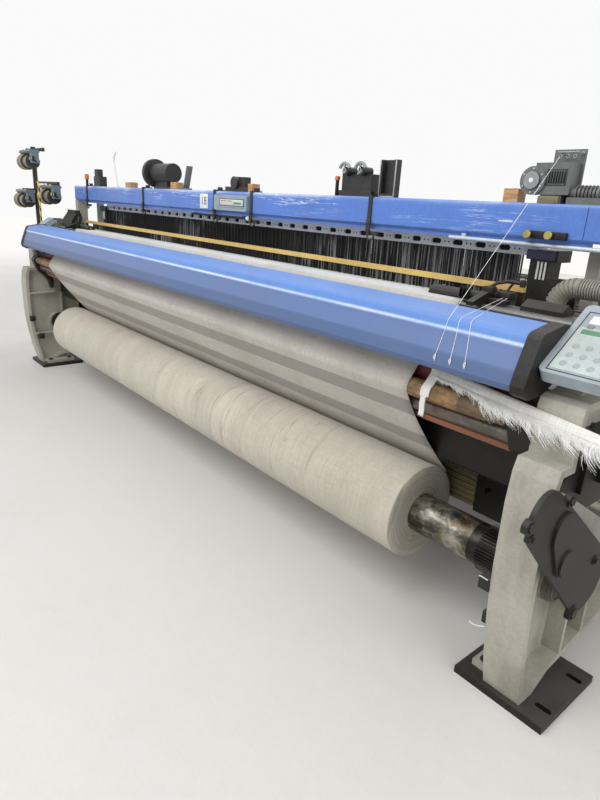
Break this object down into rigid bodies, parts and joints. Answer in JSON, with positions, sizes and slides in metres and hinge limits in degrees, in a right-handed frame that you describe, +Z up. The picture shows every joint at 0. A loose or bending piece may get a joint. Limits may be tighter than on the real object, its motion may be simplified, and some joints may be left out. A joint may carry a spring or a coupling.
{
  "type": "power loom",
  "caption": "Wide power loom with a blue front cover, slotted heald frames, a rocking reed and a cloth roll between cast side frames, weaving warp into cloth.",
  "frame": {"origin": "centre of the four floor bolts of the side frames, on the floor", "axes": "+X along the loom towards its right end as the weaver sees it, -Y towards the weaver, +Z up"},
  "size_m": [5.935, 1.996, 1.732],
  "materials": {
    "cast_paint": "matt pale grey machine paint on castings, oily and dusty",
    "black_steel": "black steel, dull with oil",
    "olive_paint": "olive enamel on a ribbed section",
    "grey_steel": "dull grey steel, stained",
    "blue_paint": "semi-gloss blue enamel, dusty",
    "black_plastic": "black moulded plastic",
    "cloth": "unbleached plain-weave cotton cloth",
    "orange_strip": "orange edge strip",
    "panel_plastic": "pale blue-grey control housing",
    "bare_steel": "bright steel",
    "hose": "ribbed grey duct",
    "cast_iron_case": "machined cast iron",
    "keypad": "printed membrane keypad",
    "dark_paint": "dark enamel",
    "feeder_plastic": "blue-grey feeder housing",
    "wood": "small untreated wooden blocks",
    "yarn": "sized cotton yarn",
    "motor_paint": "grey-blue motor enamel",
    "reed_brass": "brass-coloured reed",
    "heald_alloy": "light alloy heald frame",
    "red_rubber": "dark red take-up covering",
    "tan_roller": "tan wound roller"
  },
  "bodies": {
    "machine": {"side_frame_right": "cast_paint", "side_frame_left": "cast_paint", "foot_plates": "black_steel", "cross_member_front": "olive_paint", "cross_member_brackets": "black_steel", "lower_cross_members": "cast_paint", "breast_beam": "grey_steel", "front_cover": "blue_paint", "cover_end_caps": "black_plastic", "cloth_sheet": "cloth", "cloth_guard_bar": "grey_steel", "guard_strip": "orange_strip", "roller_brackets": "black_steel", "upper_beam": "blue_paint", "beam_straps": "black_steel", "display_module": "panel_plastic", "guard_rail": "bare_steel", "beam_stands": "cast_paint", "heald_guides": "black_plastic", "temples": "black_steel", "rapier_housing_left": "black_plastic", "rapier_housing_right": "black_plastic", "air_hose": "hose", "gear_case": "cast_iron_case", "gear_cover": "black_plastic", "control_panel_right": "panel_plastic", "control_panel_left": "panel_plastic", "keypads": "keypad", "feeder_stand": "dark_paint", "weft_feeders": "feeder_plastic", "selvedge_drive_left": "dark_paint", "selvedge_drive_mid": "dark_paint", "selvedge_drive_right": "dark_paint", "wooden_blocks": "wood", "warp_sheet": "yarn", "warp_stop_motion": "bare_steel", "back_rest_brackets": "cast_paint", "drive_motor": "motor_paint", "waste_tape": "yarn"},
    "sley": {"sley_beam": "grey_steel", "sley_shaft": "cast_iron_case", "reed": "reed_brass"},
    "heald_frame_1": {"heald_frame_1": "heald_alloy"},
    "heald_frame_2": {"heald_frame_2": "heald_alloy"},
    "heald_frame_3": {"heald_frame_3": "heald_alloy"},
    "heald_frame_4": {"heald_frame_4": "heald_alloy"},
    "cloth_roll": {"cloth_roll": "cloth", "cloth_beam": "bare_steel"},
    "take_up_roller": {"take_up_roller": "red_rubber"},
    "press_roller": {"press_roller": "tan_roller"},
    "warp_beam": {"warp_beam": "bare_steel", "warp_yarn": "yarn"},
    "back_rest_roller": {"back_rest_roller": "bare_steel"},
    "rapier_wheel_right": {"rapier_wheel_right": "dark_paint"},
    "rapier_wheel_left": {"rapier_wheel_left": "dark_paint"},
    "feeder_disc_1": {"feeder_disc_1": "black_plastic"},
    "feeder_disc_2": {"feeder_disc_2": "black_plastic"},
    "feeder_disc_3": {"feeder_disc_3": "black_plastic"},
    "leno_disc": {"leno_disc": "black_plastic"}
  },
  "joints": [
    {"name": "sley_rock", "type": "hinge", "parent": "machine", "child": "sley", "pos_m": [0, -0.33, 0.6], "axis": [1, 0, 0], "range_deg": [-10, 0]},
    {"name": "rapier_wheel_right_turn", "type": "hinge", "parent": "machine", "child": "rapier_wheel_right", "pos_m": [2.57, -0.408, 0.844], "axis": [0, 1, 0], "range_deg": [-330, 0]},
    {"name": "rapier_wheel_left_turn", "type": "hinge", "parent": "machine", "child": "rapier_wheel_left", "pos_m": [-2.57, -0.408, 0.844], "axis": [0, 1, 0], "range_deg": [0, 330]},
    {"name": "heald_frame_1_lift", "type": "slide", "parent": "machine", "child": "heald_frame_1", "axis": [0, 0, 1], "range_m": [-0.045, 0.045]},
    {"name": "heald_frame_2_lift", "type": "slide", "parent": "machine", "child": "heald_frame_2", "axis": [0, 0, 1], "range_m": [-0.045, 0.045]},
    {"name": "heald_frame_3_lift", "type": "slide", "parent": "machine", "child": "heald_frame_3", "axis": [0, 0, 1], "range_m": [-0.045, 0.045]},
    {"name": "heald_frame_4_lift", "type": "slide", "parent": "machine", "child": "heald_frame_4", "axis": [0, 0, 1], "range_m": [-0.045, 0.045]},
    {"name": "cloth_roll_turn", "type": "hinge", "parent": "machine", "child": "cloth_roll", "pos_m": [0, -0.61, 0.368], "axis": [1, 0, 0], "continuous": true},
    {"name": "take_up_turn", "type": "hinge", "parent": "machine", "child": "take_up_roller", "pos_m": [0, -0.65, 0.915], "axis": [1, 0, 0], "continuous": true},
    {"name": "press_roller_turn", "type": "hinge", "parent": "machine", "child": "press_roller", "pos_m": [0, -0.742, 0.862], "axis": [1, 0, 0], "continuous": true},
    {"name": "warp_beam_turn", "type": "hinge", "parent": "machine", "child": "warp_beam", "pos_m": [0, 0.57, 0.56], "axis": [1, 0, 0], "continuous": true},
    {"name": "back_rest_turn", "type": "hinge", "parent": "machine", "child": "back_rest_roller", "pos_m": [0, 0.8, 1.0622], "axis": [1, 0, 0], "continuous": true},
    {"name": "feeder_disc_1_turn", "type": "hinge", "parent": "machine", "child": "feeder_disc_1", "pos_m": [-2.64, -0.57, 1.6], "axis": [1, 0, 0], "continuous": true},
    {"name": "feeder_disc_2_turn", "type": "hinge", "parent": "machine", "child": "feeder_disc_2", "pos_m": [-2.84, -0.57, 1.29], "axis": [1, 0, 0], "continuous": true},
    {"name": "feeder_disc_3_turn", "type": "hinge", "parent": "machine", "child": "feeder_disc_3", "pos_m": [-2.33, -0.52, 1.335], "axis": [1, 0, 0], "continuous": true},
    {"name": "leno_disc_turn", "type": "hinge", "parent": "machine", "child": "leno_disc", "pos_m": [-0.83, -0.341, 1.523], "axis": [1, 0, 0], "continuous": true}
  ],
  "couplings": [
    {"joint": "rapier_wheel_right_turn", "follows": "sley_rock", "ratio": 33},
    {"joint": "rapier_wheel_left_turn", "follows": "sley_rock", "ratio": -33},
    {"joint": "press_roller_turn", "follows": "take_up_turn", "ratio": 2.4},
    {"joint": "back_rest_turn", "follows": "warp_beam_turn", "ratio": 5.5}
  ]
}
